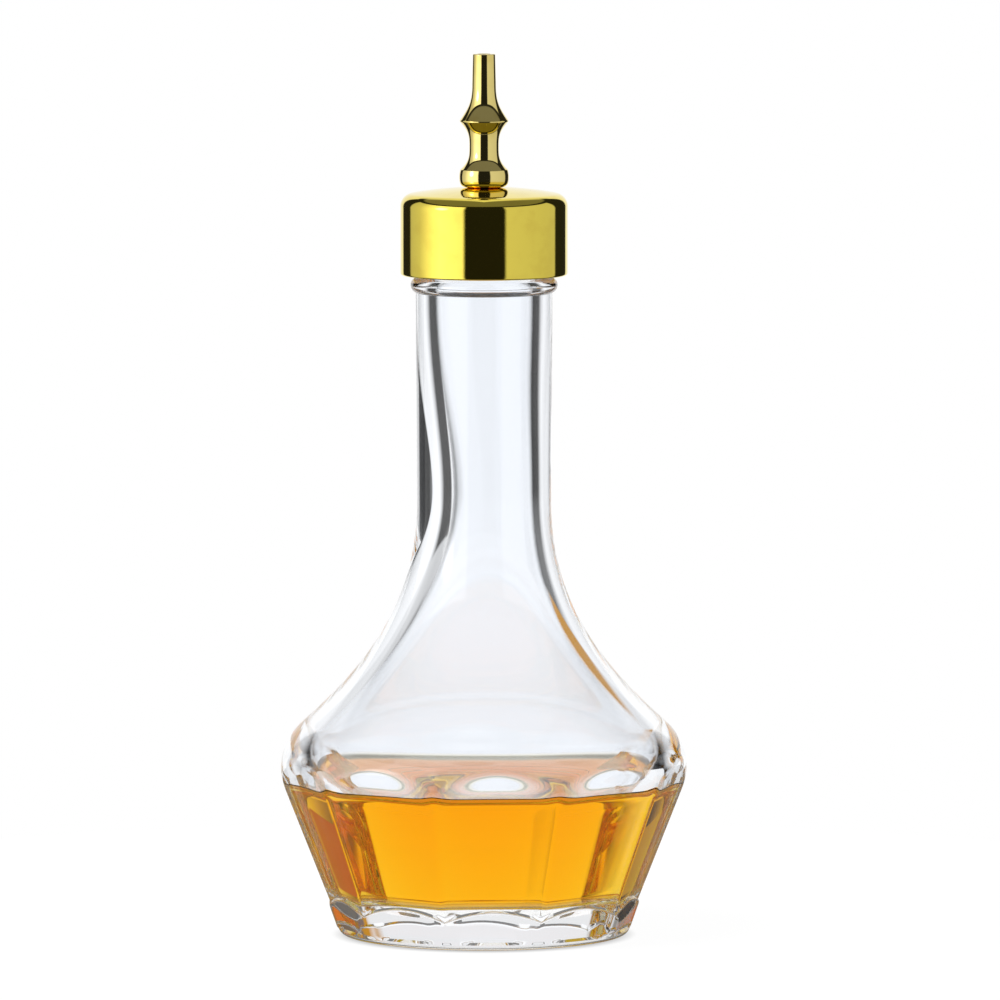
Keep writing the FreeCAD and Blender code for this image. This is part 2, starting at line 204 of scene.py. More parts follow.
def piece_from_grid(name, radius, height, angles, looped, second_rows=()):
    """A mesh from a grid of radii: rows follow the outline, columns go round.

    A row on the axis is a pole. The faces that start on second_rows take the piece's second material."""
    rows, columns = radius.shape
    vertices, ids = [], []
    total = 0
    for i in range(rows):
        on_axis = radius[i].max() < 1e-6
        ring = 1 if on_axis else columns
        r = radius[i, :ring]
        turn = angles[:ring]
        level = np.broadcast_to(height[i], columns)[:ring]
        vertices.append(np.column_stack((r * np.cos(turn), r * np.sin(turn), level)))
        ids.append(np.arange(total, total + ring))
        total += ring
    faces, face_rows = [], []
    for i in range(rows if looped else rows - 1):
        here, there = ids[i], ids[(i + 1) % rows]
        if len(here) == 1 and len(there) == 1:
            continue
        a, b = np.broadcast_to(here, columns), np.broadcast_to(there, columns)
        a_next, b_next = np.roll(a, -1), np.roll(b, -1)
        if len(here) == 1:
            faces += np.column_stack((a, b_next, b)).tolist()
        elif len(there) == 1:
            faces += np.column_stack((a, a_next, b)).tolist()
        else:
            faces += np.column_stack((a, a_next, b_next, b)).tolist()
        face_rows += [i] * columns
    mesh = bpy.data.meshes.new(name)
    mesh.from_pydata((np.concatenate(vertices) * MM).tolist(), [], faces)
    mesh.polygons.foreach_set("material_index", np.isin(face_rows, second_rows).astype(np.int32))
    mesh.validate()
    mesh.shade_smooth()
    mesh.set_sharp_from_angle(angle=SHARP_EDGE)
    piece = bpy.data.objects.new(name, mesh)
    bpy.context.scene.collection.objects.link(piece)
    return piece


def turned_piece(name, outline, columns, looped=True, shape=None):
    """A lathe-turned piece. shape(radius, height, angle) may alter the radius round the piece."""
    radius, height = outline.arrays()
    if looped:
        radius, height = radius[:-1], height[:-1]
    angles = even_angles(columns)
    grid = np.repeat(radius[:, None], columns, axis=1)
    if shape:
        grid = shape(grid, height[:, None], angles[None, :])
    return piece_from_grid(name, grid, height, angles, looped)


def soft_min(a, b, softness):
    blend = np.maximum(softness - np.abs(a - b), 0) / softness
    return np.minimum(a, b) - blend ** 2 * softness / 4


def soft_max(a, b, softness):
    return -soft_min(-a, -b, softness)


def smooth_step(t):
    t = np.clip(t, 0, 1)
    return t * t * (3 - 2 * t)


def thread_ridge(height, angle, start, turns, pitch, width):
    """Share of a right-hand thread's full height at each point, from 0 to 1, fading at both ends."""
    turn = angle / (2 * math.pi)
    turn = turn + np.round((height - start) / pitch - turn)
    offset = np.abs(height - start - pitch * turn)
    ends = smooth_step(turn / THREAD_FADE) * smooth_step((turns - turn) / THREAD_FADE)
    return smooth_step((width / 2 - offset) / (width * THREAD_FLANK)) * ends


# Glass

def ridge_radius(height):
    return RIDGE_RADIUS + (SHOULDER_RADIUS - RIDGE_RADIUS) * height / RIDGE_TOP


def panel_distance(height):
    return ridge_radius(height) * math.cos(HALF_PANEL)


def from_panel_middle(angle):
    """Angle from the middle of the nearest panel; one panel faces -Y."""
    return np.abs((angle + math.pi / 2 + HALF_PANEL) % (2 * HALF_PANEL) - HALF_PANEL)


def panel_radius(height, angle):
    """Ten flat panels with rounded ridges, one panel facing -Y."""
    middle = panel_distance(height)
    from_middle = from_panel_middle(angle)
    from_ridge = HALF_PANEL - from_middle
    corner = (middle - RIDGE_ROUNDING) / math.cos(HALF_PANEL)
    flat = middle / np.cos(from_middle)
    inside = np.maximum(RIDGE_ROUNDING ** 2 - (corner * np.sin(from_ridge)) ** 2, 0)
    rounded = corner * np.cos(from_ridge) + np.sqrt(inside)
    flat_edge = np.arctan((middle - RIDGE_ROUNDING) * math.tan(HALF_PANEL) / middle)
    return np.where(from_middle < flat_edge, flat, rounded)


def panel_angles(per_panel):
    """Columns round the glass, closer together on the ridges and along the middles of the panels."""
    t = np.arange(per_panel) / per_panel
    bend = t - COLUMN_CROWDING * np.sin(4 * math.pi * t) / 2
    across = (bend - 0.5) * 2 * HALF_PANEL
    middles = -math.pi / 2 + np.arange(PANEL_COUNT) * 2 * HALF_PANEL
    return (middles[:, None] + across[None, :]).ravel()


def bell_step(length):
    angle = math.radians(SHOULDER_SWEEP)
    return (-length * math.sin(angle), length * math.cos(angle))


def base_outline():
    """From the middle of the base out to the top of the heel."""
    heel_centre = FOOT_RADIUS + HEEL_ROUNDING * (math.tan(FOOT_LEAN) - 1 / math.cos(FOOT_LEAN))
    hollow = heel_centre - BEARING_WIDTH
    dome = (hollow ** 2 + PUSH_UP_DEPTH ** 2) / (2 * PUSH_UP_DEPTH)
    outline = Outline(0, PUSH_UP_DEPTH, step=1.2)
    outline.arc_about(0, PUSH_UP_DEPTH - dome, -math.degrees(math.asin(hollow / dome)))
    outline.line_to(heel_centre, 0)
    outline.arc_about(heel_centre, HEEL_ROUNDING, 90 - math.degrees(FOOT_LEAN))
    return outline


def foot_side(height, angle):
    """Leaning round side of the foot with a flat under every panel."""
    lean = math.tan(FOOT_LEAN)
    flat = panel_distance(FOOT_ARCH_HEIGHT) + FOOT_FLAT_STEP + (height - FOOT_ARCH_HEIGHT) * lean
    return soft_min(FOOT_RADIUS + height * lean, flat / np.cos(from_panel_middle(angle)), FOOT_FLAT_EDGE)


def foot_rows(bottom, angle):
    """Side and rounded lip of the foot, whose rows follow the arches along its top. Ends on the crease."""
    across = (FOOT_RADIUS + FOOT_ARCH_HEIGHT * math.tan(FOOT_LEAN)) * np.sin(from_panel_middle(angle))
    top = FOOT_ARCH_HEIGHT - FOOT_ARCH_RADIUS + np.sqrt(FOOT_ARCH_RADIUS ** 2 - across ** 2)
    lip_height = top - FOOT_LIP_ROUNDING
    lip_across = foot_side(lip_height, angle) - FOOT_LIP_ROUNDING / math.cos(FOOT_LEAN)
    side_top = lip_height - FOOT_LIP_ROUNDING * math.sin(FOOT_LEAN)
    side_rows, lip_rows = 13, 18
    rows = []
    for s in np.linspace(0, 1, side_rows)[1:-1]:
        height = bottom + (side_top - bottom) * s
        rows.append((foot_side(height, angle), height))
    for turn in np.linspace(-FOOT_LEAN, math.pi / 2, lip_rows):
        out, up = FOOT_LIP_ROUNDING * math.cos(turn), FOOT_LIP_ROUNDING * math.sin(turn)
        rows.append((lip_across + out, lip_height + up))
    radius = np.array([row[0][0] for row in rows])
    height = np.array([row[1][0] for row in rows])
    return soft_max(panel_radius(height, angle), radius, FOOT_CREASE), height


def bell_outline():
    """Shoulder, bell and neck up to the bead, over a straight wall that the panels cut away."""
    outline = Outline(SHOULDER_RADIUS, 0, step=0.25)
    outline.line_to(SHOULDER_RADIUS, SHOULDER_HEIGHT)
    outline.arc_about(SHOULDER_RADIUS - SHOULDER_ROUNDING, SHOULDER_HEIGHT, SHOULDER_SWEEP)
    outline.step = 0.5
    outline.curve_to(bell_step(BELL_PULLS[0]), (0, -BELL_PULLS[1]), WAIST_RADIUS, WAIST_HEIGHT, least=90)
    outline.step = 1.2
    pull = (BEAD_BOTTOM - WAIST_HEIGHT) / 3
    outline.curve_to((0, pull), (0, -pull), NECK_TOP_RADIUS, BEAD_BOTTOM)
    return outline


def finish_outline():
    """Bead, threaded finish and lip."""
    bead_half = BEAD_HEIGHT / 2
    rise = BEAD_RADIUS - NECK_TOP_RADIUS
    bead_round = (rise ** 2 + bead_half ** 2) / (2 * rise)
    swing = math.degrees(math.asin(bead_half / bead_round))
    outline = Outline(NECK_TOP_RADIUS, BEAD_BOTTOM, step=0.2)
    outline.arc_about(BEAD_RADIUS - bead_round, BEAD_BOTTOM + bead_half, 2 * swing, least=14)
    outline.line_to(THREAD_ROOT, BEAD_BOTTOM + BEAD_HEIGHT + BEAD_RUN_OUT)
    outline.line_to(THREAD_ROOT, LIP - LIP_ROUNDING)
    outline.arc_about(THREAD_ROOT - LIP_ROUNDING, LIP - LIP_ROUNDING, 90)
    outline.line_to(BORE_RADIUS + LIP_ROUNDING, LIP, least=4)
    return outline


def cavity_outline(step):
    """Inside of the glass, from the middle of its floor up to the lip."""
    lean = math.atan(panel_distance(1.0) - panel_distance(0.0))
    across = PANEL_WALL / math.cos(lean)
    floor_side = FLOOR + FLOOR_ROUNDING
    floor_centre = panel_distance(floor_side) - across - FLOOR_ROUNDING / math.cos(lean)
    shoulder = SHOULDER_HEIGHT + INNER_SHOULDER_RISE
    shoulder_centre = panel_distance(shoulder) - across - INNER_SHOULDER_ROUNDING / math.cos(lean)
    outline = Outline(0, FLOOR, step=step)
    outline.line_to(floor_centre, FLOOR, least=10)
    outline.arc_about(floor_centre, floor_side, 90 - math.degrees(lean))
    outline.line_to(shoulder_centre + INNER_SHOULDER_ROUNDING * math.cos(lean),
                    shoulder - INNER_SHOULDER_ROUNDING * math.sin(lean))
    outline.arc_about(shoulder_centre, shoulder, SHOULDER_SWEEP + math.degrees(lean))
    outline.curve_to(bell_step(INNER_BELL_PULLS[0]), (0, -INNER_BELL_PULLS[1]),
                     BORE_WAIST_RADIUS, BORE_WAIST_HEIGHT)
    pull = (BEAD_BOTTOM - BORE_WAIST_HEIGHT) / 3
    outline.curve_to((0, pull), (0, -pull), BORE_RADIUS, BEAD_BOTTOM)
    outline.line_to(BORE_RADIUS, LIP - LIP_ROUNDING)
    outline.arc_about(BORE_RADIUS + LIP_ROUNDING, LIP - LIP_ROUNDING, -90)
    return outline


def uneven_bore(radius, height, angle):
    return radius + BORE_DRIFT * np.exp(-((height - DRIFT_HEIGHT) / DRIFT_SPREAD) ** 2) * np.cos(angle)


def glass_bottle():
    angles = panel_angles(PANEL_COLUMNS)
    angle = angles[None, :]
    base_radius, base_height = base_outline().arrays()
    foot_radius, foot_height = foot_rows(base_height[-1], angle)
    bell_radius, bell_height = bell_outline().arrays()

    # The base and everything above the scallops are round; between them each row is panelled
    panels_start, scallops_start, scallop_top = 9.0, 19, 42.0
    panel_row, scallop_row, foot_blend_rows = 0.8, 0.25, 9
    rising = np.linspace(0, 1, foot_blend_rows)[1:-1, None]
    near_foot = foot_height[-1] + (panels_start - foot_height[-1]) * rising
    level_rows = np.concatenate((np.arange(panels_start, scallops_start, panel_row),
                                 np.arange(scallops_start, scallop_top, scallop_row)))[:, None]
    panel_heights = np.concatenate((near_foot, np.repeat(level_rows, len(angles), axis=1)))
    bell_at = np.interp(panel_heights, bell_height, bell_radius)
    panelled = soft_min(panel_radius(panel_heights, angle), bell_at, SCALLOP_SOFTNESS)
    above = bell_height > scallop_top
    finish_radius, finish_height = finish_outline().arrays()
    thread = thread_ridge(finish_height[:, None], angle, THREAD_START,
                          THREAD_TURNS, THREAD_PITCH, THREAD_WIDTH)
    under_thread, on_root = THREAD_START - 2, THREAD_ROOT - 0.01
    in_thread = (finish_height > under_thread) & (finish_radius > on_root)
    threaded = finish_radius[:, None] + (THREAD_CREST - THREAD_ROOT) * thread * in_thread[:, None]
    bore_radius, bore_height = cavity_outline(0.7).arrays()
    wet_row = np.searchsorted(bore_height, CONTACT_HEIGHT)
    bore_radius = np.insert(bore_radius, wet_row, np.interp(CONTACT_HEIGHT, bore_height, bore_radius))
    bore_height = np.insert(bore_height, wet_row, CONTACT_HEIGHT)
    bored = uneven_bore(bore_radius[:, None], bore_height[:, None], angle)
    bored = np.where(bore_radius[:, None] > 0, bored, 0)

    def all_round(row_values):
        return np.repeat(row_values[:, None], len(angles), axis=1)

    radius = np.concatenate((all_round(base_radius), foot_radius, panelled, all_round(bell_radius[above]),
                             threaded[1:], bored[::-1][1:]))
    height = np.concatenate((all_round(base_height), foot_height, panel_heights,
                             all_round(bell_height[above]), all_round(finish_height[1:]),
                             all_round(bore_height[::-1][1:])))
    wet = np.arange(len(radius) - 1 - wet_row, len(radius))
    return piece_from_grid("bottle_glass", radius, height, angles, looped=False, second_rows=wet)


def bitters():
    """The liquid, wetting the glass and climbing it a little at its edge."""
    radius, height = cavity_outline(0.5).arrays()
    along = np.gradient(radius), np.gradient(height)
    length = np.hypot(*along)
    radius, height = radius + WETTING * along[1] / length, height - WETTING * along[0] / length
    radius[0] = 0
    below = height < CONTACT_HEIGHT
    edge_radius = np.interp(CONTACT_HEIGHT, height, radius)
    surface_rows, edge_crowding = 60, 1.8
    inward = edge_radius * np.linspace(0, 1, surface_rows) ** edge_crowding
    fall = MENISCUS_RISE * (1 - np.exp(-inward / MENISCUS_REACH))
    radius = np.concatenate((radius[below], edge_radius - inward))
    height = np.concatenate((height[below], CONTACT_HEIGHT - fall))
    radius[-1] = 0
    grid = np.repeat(radius[:, None], CAP_COLUMNS, axis=1)
    return piece_from_grid("amber_bitters", grid, height, even_angles(CAP_COLUMNS), looped=False)


# Closure

def cap_shell():
    dome_centre = DOME_TOP - CAP_DOME_RADIUS
    corner = CAP_RADIUS - CAP_CORNER
    arm = CAP_DOME_RADIUS - CAP_CORNER
    corner_height = dome_centre + math.sqrt(arm ** 2 - corner ** 2)
    dome_edge = math.degrees(math.asin(corner / arm))
    dome_seat = math.degrees(math.asin(SEAT_RADIUS / CAP_DOME_RADIUS))
    bore = CAP_RADIUS - CAP_WALL
    outline = Outline(bore, SKIRT_BOTTOM + SKIRT_EDGE_ROUNDING, step=0.6)
    outline.arc_about(bore + SKIRT_EDGE_ROUNDING, SKIRT_BOTTOM + SKIRT_EDGE_ROUNDING, 90, least=6)
    outline.line_to(CAP_RADIUS - SKIRT_EDGE_ROUNDING, SKIRT_BOTTOM)
    outline.arc_about(CAP_RADIUS - SKIRT_EDGE_ROUNDING, SKIRT_BOTTOM + SKIRT_EDGE_ROUNDING, 90, least=6)
    outline.line_to(CAP_RADIUS, corner_height)
    outline.arc_about(corner, corner_height, 90 - dome_edge, least=24)
    outline.arc_about(0, dome_centre, dome_edge - dome_seat, least=24)
    outline.line_to(SPIGOT_HOLE, outline.points[-1][1])
    outline.line_to(SPIGOT_HOLE, CAP_CEILING)
    outline.line_to(bore, CAP_CEILING)
    outline.line_to(bore, SKIRT_BOTTOM + SKIRT_EDGE_ROUNDING)
    return turned_piece("gold_cap", outline, CAP_COLUMNS)


def thread_insert():
    outline = Outline(INSERT_BORE + INSERT_MOUTH, INSERT_BOTTOM, step=0.8)
    outline.line_to(INSERT_RADIUS, INSERT_BOTTOM)
    outline.line_to(INSERT_RADIUS, CAP_CEILING - INSERT_CHAMFER)
    outline.line_to(INSERT_RADIUS - INSERT_CHAMFER, CAP_CEILING)
    outline.line_to(SPIGOT_HOLE, CAP_CEILING)
    outline.line_to(SPIGOT_HOLE, WASHER_TOP)
    outline.line_to(INSERT_BORE, WASHER_TOP)
    outline.step = 0.2
    outline.line_to(INSERT_BORE, INSERT_BOTTOM + INSERT_MOUTH)
    outline.line_to(INSERT_BORE + INSERT_MOUTH, INSERT_BOTTOM)
    lowest, highest = INSERT_BOTTOM + 0.4, WASHER_TOP - 0.6

    def threaded(radius, height, angle):
        start = THREAD_START - THREAD_PITCH / 2
        ridge = thread_ridge(height, angle, start, THREAD_TURNS + 0.5, THREAD_PITCH, THREAD_WIDTH)
        in_bore = (np.abs(radius - INSERT_BORE) < 0.05) & (height < highest) & (height > lowest)
        return radius - (INSERT_BORE - INSERT_CREST) * ridge * in_bore

    return turned_piece("cap_thread_insert", outline, CAP_COLUMNS, shape=threaded)


def washer(name, hole, outer, bottom, top, columns):
    """A soft ring with rounded edges."""
    rounding = min(SOFT_EDGE, (top - bottom) / 3)
    outline = Outline(hole + rounding, bottom, step=0.6)
    outline.line_to(outer - rounding, bottom)
    outline.arc_about(outer - rounding, bottom + rounding, 90, least=5)
    outline.line_to(outer, top - rounding)
    outline.arc_about(outer - rounding, top - rounding, 90, least=5)
    outline.line_to(hole + rounding, top)
    outline.arc_about(hole + rounding, top - rounding, 90, least=5)
    outline.line_to(hole, bottom + rounding)
    outline.arc_about(hole + rounding, bottom + rounding, 90, least=5)
    return turned_piece(name, outline, columns)


def dasher_spout():
    """Turned from bar: spigot, knob foot, flare, waist, sharp ring and tapering stem, bored through."""
    knob_lower, knob_upper, ledge = 1.85, 1.15, 0.2
    knob_top, flare_rise, waist = 4.05, 4.05, 2.5
    ring_rise, ring, stem_rise, stem = 4.05, 4.15, 6.2, 2.02
    tip, tip_edge, ring_edge, ring_nose = 1.9, 0.15, 0.12, 0.05
    dome_centre = DOME_TOP - CAP_DOME_RADIUS
    seat = dome_centre + math.sqrt(CAP_DOME_RADIUS ** 2 - SEAT_RADIUS ** 2)
    outline = Outline(SPOUT_BORE, SPIGOT_END, step=0.12)
    outline.line_to(SPIGOT_RADIUS - SPIGOT_CHAMFER, SPIGOT_END)
    outline.line_to(SPIGOT_RADIUS, SPIGOT_END + SPIGOT_CHAMFER)
    outline.line_to(SPIGOT_RADIUS, seat)
    outline.line_to(SEAT_RADIUS, seat)
    height = seat + knob_lower
    outline.curve_to((KNOB_RADIUS - SEAT_RADIUS, 0), (0, -knob_lower / 2), KNOB_RADIUS, height, least=20)
    height += knob_upper
    outline.curve_to((0, knob_upper / 2), (0.02, -0.1), knob_top, height)
    outline.line_to(knob_top - ledge, height + ledge)
    height += flare_rise + ledge
    outline.curve_to((waist - knob_top + ledge, flare_rise / 3), (0, -flare_rise / 2), waist, height)
    height += ring_rise
    outline.curve_to((0, ring_rise / 2), ((waist - ring) * 2 / 3, -ring_rise / 3),
                     ring - ring_nose, height - ring_edge)
    outline.curve_to((ring_nose, ring_edge * 0.7), (ring_nose, -ring_edge * 0.7),
                     ring - ring_nose, height + ring_edge, least=6)
    height += stem_rise
    outline.curve_to(((stem - ring) * 2 / 3, stem_rise / 3), (0, -stem_rise / 2), stem, height)
    outline.line_to(tip, SPOUT_TIP - tip_edge)
    outline.arc_about(tip - tip_edge, SPOUT_TIP - tip_edge, 90, least=5)
    outline.line_to(SPOUT_BORE + tip_edge, SPOUT_TIP)
    outline.arc_about(SPOUT_BORE + tip_edge, SPOUT_TIP - tip_edge, 90, least=5)
    outline.step = 1.0
    outline.line_to(SPOUT_BORE, SPIGOT_END)

    def threaded(radius, height, angle):
        on_spigot = (np.abs(radius - SPIGOT_RADIUS) < 0.01) & (height < SEAL_BOTTOM)
        turns, width = 20, SPIGOT_PITCH * 0.9
        ridge = thread_ridge(height, angle, SPIGOT_END - SPIGOT_PITCH, turns, SPIGOT_PITCH, width)
        return radius - SPIGOT_THREAD_DEPTH * (1 - ridge) * on_spigot

    return turned_piece("gold_spout", outline, SPOUT_COLUMNS, shape=threaded)


def spout_nut():
    """Thin hexagon nut with turned corners."""
    sides, chamfer = 6, math.radians(30)
    half = math.pi / sides
    flat = NUT_CORNER_RADIUS * math.cos(half)
    outline = Outline(SPIGOT_HOLE, NUT_BOTTOM, step=0.3)
    outline.line_to(flat, NUT_BOTTOM)
    outline.step = 0.06
    outline.line_to(NUT_CORNER_RADIUS, NUT_BOTTOM + (NUT_CORNER_RADIUS - flat) * math.tan(chamfer))
    outline.step = 0.3
    outline.line_to(NUT_CORNER_RADIUS, SEAL_BOTTOM)
    outline.line_to(SPIGOT_HOLE, SEAL_BOTTOM)
    outline.line_to(SPIGOT_HOLE, NUT_BOTTOM)

    def hexagon(radius, height, angle):
        from_middle = np.abs((angle + half) % (2 * half) - half)
        return np.minimum(radius, flat / np.cos(half - from_middle))

    return turned_piece("spout_lock_nut", outline, NUT_COLUMNS, shape=hexagon)


# Materials

def new_material(name):
    material = bpy.data.materials.new(name)
    material.use_nodes = True
    nodes = material.node_tree.nodes
    return material, nodes, material.node_tree.links, nodes["Principled BSDF"]


def surface_marks():
    """Shared finish: slow waves and fine specks, as a mask, a roughness and a height."""
    group = bpy.data.node_groups.new("surface_marks", "ShaderNodeTree")
    face = group.interface
    for name, value in (("Wave Scale", 120.0), ("Speck Scale", 4000.0), ("Smooth", 0.05), ("Dull", 0.12)):
        face.new_socket(name, in_out="INPUT", socket_type="NodeSocketFloat").default_value = value
    for name in ("Mask", "Roughness", "Height"):
        face.new_socket(name, in_out="OUTPUT", socket_type="NodeSocketFloat")
    nodes, links = group.nodes, group.links
    inputs, outputs = nodes.new("NodeGroupInput"), nodes.new("NodeGroupOutput")
    place = nodes.new("ShaderNodeTexCoord")

    def noise(scale, detail):
        node = nodes.new("ShaderNodeTexNoise")
        node.inputs["Detail"].default_value = detail
        links.new(place.outputs["Object"], node.inputs["Vector"])
        links.new(inputs.outputs[scale], node.inputs["Scale"])
        return node.outputs["Fac"]

    wave, speck = noise("Wave Scale", 3.0), noise("Speck Scale", 2.0)
    mask = nodes.new("ShaderNodeMapRange")
    mask.interpolation_type = "SMOOTHSTEP"
    mask.inputs["From Min"].default_value = 0.42
    mask.inputs["From Max"].default_value = 0.68
    links.new(wave, mask.inputs["Value"])
    rough = nodes.new("ShaderNodeMapRange")
    links.new(mask.outputs["Result"], rough.inputs["Value"])
    links.new(inputs.outputs["Smooth"], rough.inputs["To Min"])
    links.new(inputs.outputs["Dull"], rough.inputs["To Max"])
    height = nodes.new("ShaderNodeMix")
    height.inputs["Factor"].default_value = 0.25
    links.new(wave, height.inputs["A"])
    links.new(speck, height.inputs["B"])
    links.new(mask.outputs["Result"], outputs.inputs["Mask"])
    links.new(rough.outputs["Result"], outputs.inputs["Roughness"])
    links.new(height.outputs["Result"], outputs.inputs["Height"])
    return group


MARKS = surface_marks()


def add_marks(nodes, links, shader, wave, speck, smooth, dull, relief):
    """Gives a material the shared finish at its own scale, and returns its mask."""
    marks = nodes.new("ShaderNodeGroup")
    marks.node_tree = MARKS
    for name, value in (("Wave Scale", wave), ("Speck Scale", speck), ("Smooth", smooth), ("Dull", dull)):
        marks.inputs[name].default_value = value
    bump = nodes.new("ShaderNodeBump")
    bump.inputs["Strength"].default_value = 1.0
    bump.inputs["Distance"].default_value = relief * MM
    links.new(marks.outputs["Roughness"], shader.inputs["Roughness"])
    links.new(marks.outputs["Height"], bump.inputs["Height"])
    links.new(bump.outputs["Normal"], shader.inputs["Normal"])
    return marks.outputs["Mask"]


def two_tones(nodes, links, shader, mask, plain, marked):
    tones = nodes.new("ShaderNodeMix")
    tones.data_type = "RGBA"
    tones.inputs["A"].default_value = (*plain, 1)
    tones.inputs["B"].default_value = (*marked, 1)
    links.new(mask, tones.inputs["Factor"])
    links.new(tones.outputs["Result"], shader.inputs["Base Color"])


def absorb(nodes, links, colour, density):
    volume = nodes.new("ShaderNodeVolumeAbsorption")
    volume.inputs["Color"].default_value = (*colour, 1)
    volume.inputs["Density"].default_value = density
    links.new(volume.outputs["Volume"], nodes["Material Output"].inputs["Volume"])


def clear_glass(name, wet):
    """Clear glass. Its wet inside has no air against it, so it throws back next to no light."""
    material, nodes, links, shader = new_material(name)
    shader.inputs["Base Color"].default_value = (1, 1, 1, 1) if wet else (0.945, 0.965, 0.995, 1)
    shader.inputs["Transmission Weight"].default_value = 1.0
    shader.inputs["IOR"].default_value = 1.5
    if wet:
        shader.inputs["Specular Tint"].default_value = (0, 0, 0, 1)
    add_marks(nodes, links, shader, wave=90, speck=900, smooth=0.0, dull=0.006, relief=0.003)
    return material


def amber_liquid():
    material, nodes, links, shader = new_material("amber_liquid")
    shader.inputs["Base Color"].default_value = (1, 1, 1, 1)
    shader.inputs["Transmission Weight"].default_value = 1.0
    shader.inputs["IOR"].default_value = 1.36
    shader.inputs["Roughness"].default_value = 0.0
    shader.inputs["Specular Tint"].default_value = (0, 0, 0, 1)
    absorb(nodes, links, (0.9995, 0.86, 0.02), 125.0)
    return material


def gold_plate(name, plain, marked):
    material, nodes, links, shader = new_material(name)
    shader.inputs["Metallic"].default_value = 1.0
    mask = add_marks(nodes, links, shader, wave=260, speck=5000, smooth=0.035, dull=0.075, relief=0.006)
    two_tones(nodes, links, shader, mask, plain, marked)
    return material


def nut_brass():
    material, nodes, links, shader = new_material("nut_brass")
    shader.inputs["Metallic"].default_value = 1.0
    mask = add_marks(nodes, links, shader, wave=500, speck=6000, smooth=0.18, dull=0.34, relief=0.02)
    two_tones(nodes, links, shader, mask, (0.72, 0.53, 0.20), (0.55, 0.38, 0.14))
    return material


def insert_plastic():
    material, nodes, links, shader = new_material("insert_plastic")
    mask = add_marks(nodes, links, shader, wave=350, speck=7000, smooth=0.38, dull=0.5, relief=0.03)
    two_tones(nodes, links, shader, mask, (0.80, 0.80, 0.78), (0.74, 0.74, 0.71))
    return material


def silicone():
    material, nodes, links, shader = new_material("silicone")
    shader.inputs["Subsurface Weight"].default_value = 0.4
    shader.inputs["Subsurface Radius"].default_value = (0.001, 0.001, 0.0012)
    mask = add_marks(nodes, links, shader, wave=420, speck=5000, smooth=0.45, dull=0.6, relief=0.03)
    two_tones(nodes, links, shader, mask, (0.78, 0.80, 0.80), (0.70, 0.72, 0.73))
    return material


def dress(piece, materials, body, node):
    for material in materials:
        piece.data.materials.append(material)
    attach(piece, body)
    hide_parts(node)


cap_gold = [gold_plate("cap_gold", (0.88, 0.72, 0.11), (0.83, 0.66, 0.10))]
spout_gold = [gold_plate("spout_gold", (0.92, 0.76, 0.27), (0.86, 0.69, 0.22))]
rubber = [silicone()]
glass = [clear_glass("clear_glass", wet=False), clear_glass("wet_glass", wet=True)]
washer_hole = BORE_RADIUS + WASHER_SETBACK
seal_hole = SPIGOT_RADIUS + SEAL_CLEARANCE
dress(glass_bottle(), glass, "bottle", "glass_bottle")
dress(bitters(), [amber_liquid()], "bottle", "bitters")
dress(cap_shell(), cap_gold, "cap", "cap_shell")
dress(dasher_spout(), spout_gold, "cap", "dasher_spout")
dress(thread_insert(), [insert_plastic()], "cap", "thread_insert")
dress(spout_nut(), [nut_brass()], "cap", "spout_nut")
lip_ring = washer("lip_washer_ring", washer_hole, WASHER_RADIUS, LIP, WASHER_TOP, SPOUT_COLUMNS)
dress(lip_ring, rubber, "lip_washer", "sealing_washer")
spout_ring = washer("spout_seal_ring", seal_hole, SEAL_RADIUS, SEAL_BOTTOM, WASHER_TOP, SEAL_COLUMNS)
dress(spout_ring, rubber, "spout_gasket", "spout_seal")


# Studio

VIEW_AZIMUTH = math.radians(-3.5)
VIEW_DISTANCE = 2.1
EYE_HEIGHT = 0.270
FRAME_WIDTH = 0.170         # across the picture at the bottle
AIM_RIGHT = 0.0027
AIM_HEIGHT = 0.0741
TABLE_RADIUS = 160          # millimetres
TABLE_DROP = 0.2            # millimetres from the foot down to the table, so that the two never share a face
TABLE_COLUMNS = 96
SHADE_REACH = 100           # millimetres from the axis to the end of the table's painted shading
LAMP_DISTANCE = 1.2
LAMP_SIZE = 0.8


def camera():
    right = Vector((math.cos(VIEW_AZIMUTH), math.sin(VIEW_AZIMUTH), 0))
    toward = Vector((math.sin(VIEW_AZIMUTH), -math.cos(VIEW_AZIMUTH), 0))
    aim = right * AIM_RIGHT + Vector((0, 0, AIM_HEIGHT))
    data = bpy.data.cameras.new("camera")
    eye = bpy.data.objects.new("camera", data)
    eye.location = right * AIM_RIGHT + toward * VIEW_DISTANCE + Vector((0, 0, EYE_HEIGHT))
    look = aim - eye.location
    eye.rotation_euler = look.to_track_quat("-Z", "Y").to_euler()
    data.sensor_width = 36
    data.lens = data.sensor_width * look.length / FRAME_WIDTH
    data.clip_end = 50
    bpy.context.scene.collection.objects.link(eye)
    bpy.context.scene.camera = eye


def feed(tree, socket, value):
    """Links another node's output to a socket, or writes a plain value on it."""
    if isinstance(value, bpy.types.NodeSocket):
        tree.links.new(value, socket)
    else:
        socket.default_value = value


def math_node(tree, operation, a, b):
    node = tree.nodes.new("ShaderNodeMath")
    node.operation = operation
    feed(tree, node.inputs[0], a)
    feed(tree, node.inputs[1], b)
    return node.outputs["Value"]


def choose(tree, factor, otherwise, chosen):
    mix = tree.nodes.new("ShaderNodeMix")
    mix.data_type = "RGBA"
    feed(tree, mix.inputs["Factor"], factor)
    feed(tree, mix.inputs["A"], otherwise)
    feed(tree, mix.inputs["B"], chosen)
    return mix.outputs["Result"]


